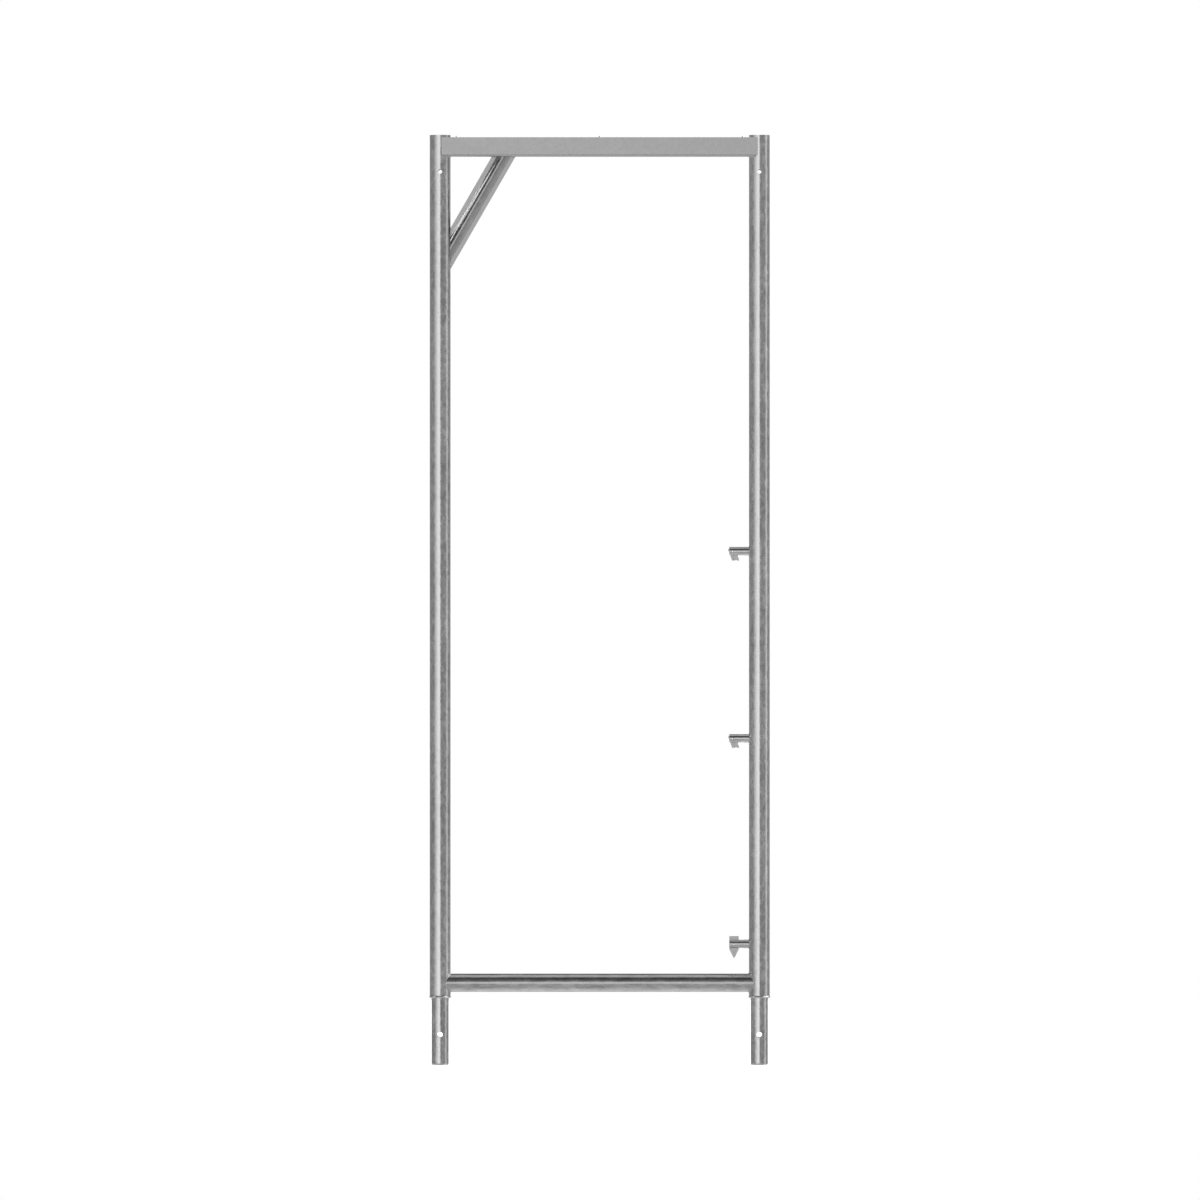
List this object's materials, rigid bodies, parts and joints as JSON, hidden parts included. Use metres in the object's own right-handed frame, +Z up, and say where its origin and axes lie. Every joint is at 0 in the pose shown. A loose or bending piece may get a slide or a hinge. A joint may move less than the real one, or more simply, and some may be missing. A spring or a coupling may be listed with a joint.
{
  "type": "frame scaffold section",
  "caption": "Galvanised steel scaffold frame: tubular standards with spigots and sockets, a U channel for decks, a bottom transom, a corner brace, and latched guardrail and toe-board pins.",
  "frame": {"origin": "midway between the standards, level with the lower ends of the spigots", "axes": "+Z up along the standards, +X along the channel towards the standard with the pins, +Y towards the back; the front looks along -Y"},
  "size_m": [0.7903, 0.0502, 2.155],
  "materials": {
    "galvanised_tube": "hot-dip galvanised, dull grey with a soft mottle",
    "galvanised_sheet": "hot-dip galvanised rolled sheet, dull grey",
    "galvanised_bar": "hot-dip galvanised bar",
    "latch_plate": "zinc-coated plate with cut edges",
    "pivot_steel": "rolled spring steel, zinc coated",
    "weld_bead": "galvanised over, rippled"
  },
  "bodies": {
    "frame": {"standard_left": "galvanised_tube", "standard_right": "galvanised_tube", "spigot_left": "galvanised_tube", "spigot_right": "galvanised_tube", "foot_collar_left": "galvanised_tube", "foot_collar_right": "galvanised_tube", "bottom_transom": "galvanised_tube", "top_channel": "galvanised_sheet", "corner_brace": "galvanised_sheet", "deck_stud_left": "galvanised_bar", "deck_stud_centre": "galvanised_bar", "deck_stud_right": "galvanised_bar", "guardrail_pin_upper": "galvanised_bar", "guardrail_pin_middle": "galvanised_bar", "toeboard_pin": "galvanised_bar", "pivot_pin_upper": "pivot_steel", "pivot_pin_middle": "pivot_steel", "pivot_pin_toeboard": "pivot_steel", "channel_weld_left": "weld_bead", "channel_weld_right": "weld_bead", "transom_weld_left": "weld_bead", "transom_weld_right": "weld_bead", "brace_weld_upper": "weld_bead", "brace_weld_lower": "weld_bead", "pin_weld_upper": "weld_bead", "pin_weld_middle": "weld_bead", "pin_weld_toeboard": "weld_bead", "stud_welds": "weld_bead"},
    "upper_guardrail_latch": {"guardrail_latch_upper": "latch_plate"},
    "middle_guardrail_latch": {"guardrail_latch_middle": "latch_plate"},
    "toe_board_latch": {"toeboard_latch": "latch_plate"}
  },
  "joints": [
    {"name": "upper_latch_pivot", "type": "hinge", "parent": "frame", "child": "upper_guardrail_latch", "pos_m": [0.30795, 0, 1.1895], "axis": [0, -1, 0], "range_deg": [0, 71]},
    {"name": "middle_latch_pivot", "type": "hinge", "parent": "frame", "child": "middle_guardrail_latch", "pos_m": [0.30795, 0, 0.7555], "axis": [0, -1, 0], "range_deg": [0, 71]},
    {"name": "toeboard_latch_pivot", "type": "hinge", "parent": "frame", "child": "toe_board_latch", "pos_m": [0.31135, 0, 0.279], "axis": [0, 1, 0], "range_deg": [-50, 90]}
  ]
}
